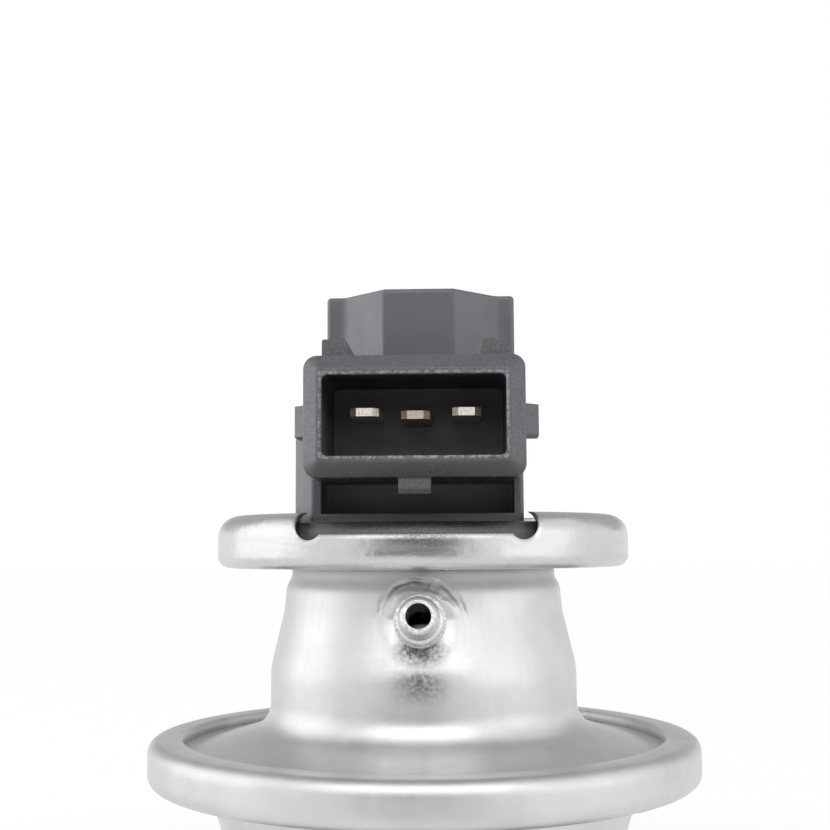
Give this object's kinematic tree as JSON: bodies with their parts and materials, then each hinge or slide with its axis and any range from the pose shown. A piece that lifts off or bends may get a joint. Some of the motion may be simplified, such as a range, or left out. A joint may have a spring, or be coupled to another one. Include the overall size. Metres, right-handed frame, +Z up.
{
  "type": "exhaust gas recirculation valve",
  "caption": "Vacuum exhaust gas recirculation valve with a black plug-in lift sensor held by a crimped ring on a bright drawn can, above a cast two-bolt valve body.",
  "frame": {"origin": "on the valve axis in the mounting face, midway between the base bolt holes", "axes": "+Z up along the valve axis, -Y the way the sensor plug faces, +X to the right of the plug"},
  "size_m": [0.08, 0.0596, 0.0996],
  "materials": {
    "casting": "as cast, sand textured",
    "hard_steel": "ground",
    "bush_bronze": "machined bronze",
    "stem_seal_carbon": "pressed carbon",
    "spring_steel": "drawn wire or strip",
    "gasket_board": "pressed fibre board",
    "can_steel": "drawn and plated, satin bright",
    "screw_steel": "zinc plated",
    "black_rubber": "moulded rubber",
    "plate_steel": "zinc plated",
    "nipple_steel": "turned and plated",
    "ring_zinc": "zinc plated, clear passivated, rolled edge",
    "sensor_plastic": "fine grained moulded glass-filled plastic",
    "terminal_tin": "tinned blade",
    "track_ceramic": "printed ceramic",
    "slider_plastic": "natural moulded plastic",
    "contact_bronze": "spring bronze strip"
  },
  "bodies": {
    "housing": {"valve_body": "casting", "seat_ring": "hard_steel", "stem_bush": "bush_bronze", "stem_seal": "stem_seal_carbon", "seal_cap": "spring_steel", "body_gasket": "gasket_board", "lower_can": "can_steel", "can_screws": "screw_steel", "diaphragm": "black_rubber", "return_spring": "spring_steel", "vacuum_can": "can_steel", "vacuum_nipple": "nipple_steel", "crimp_ring": "ring_zinc", "sensor_seal": "black_rubber", "sensor_housing": "sensor_plastic", "terminal_left": "terminal_tin", "terminal_centre": "terminal_tin", "terminal_right": "terminal_tin", "track_board": "track_ceramic", "plunger_spring": "spring_steel", "plunger_guide": "slider_plastic"},
    "valve": {"valve_stem": "hard_steel", "valve_head": "hard_steel", "diaphragm_washer": "plate_steel", "spring_cup": "plate_steel"},
    "sensor_slider": {"sensor_plunger": "hard_steel", "wiper_carrier": "slider_plastic", "wiper_contact": "contact_bronze"}
  },
  "joints": [
    {"name": "valve_lift", "type": "slide", "parent": "housing", "child": "valve", "axis": [0, 0, 1], "range_m": [0, 0.006], "stiffness_N_per_m": 1500, "springref_m": -0.01, "deforming": ["return_spring", "diaphragm"]},
    {"name": "sensor_follow", "type": "slide", "parent": "housing", "child": "sensor_slider", "axis": [0, 0, 1], "range_m": [0, 0.006], "stiffness_N_per_m": 100, "springref_m": -0.01, "deforming": ["plunger_spring"]}
  ],
  "couplings": [
    {"joint": "sensor_follow", "follows": "valve_lift", "ratio": 1}
  ]
}
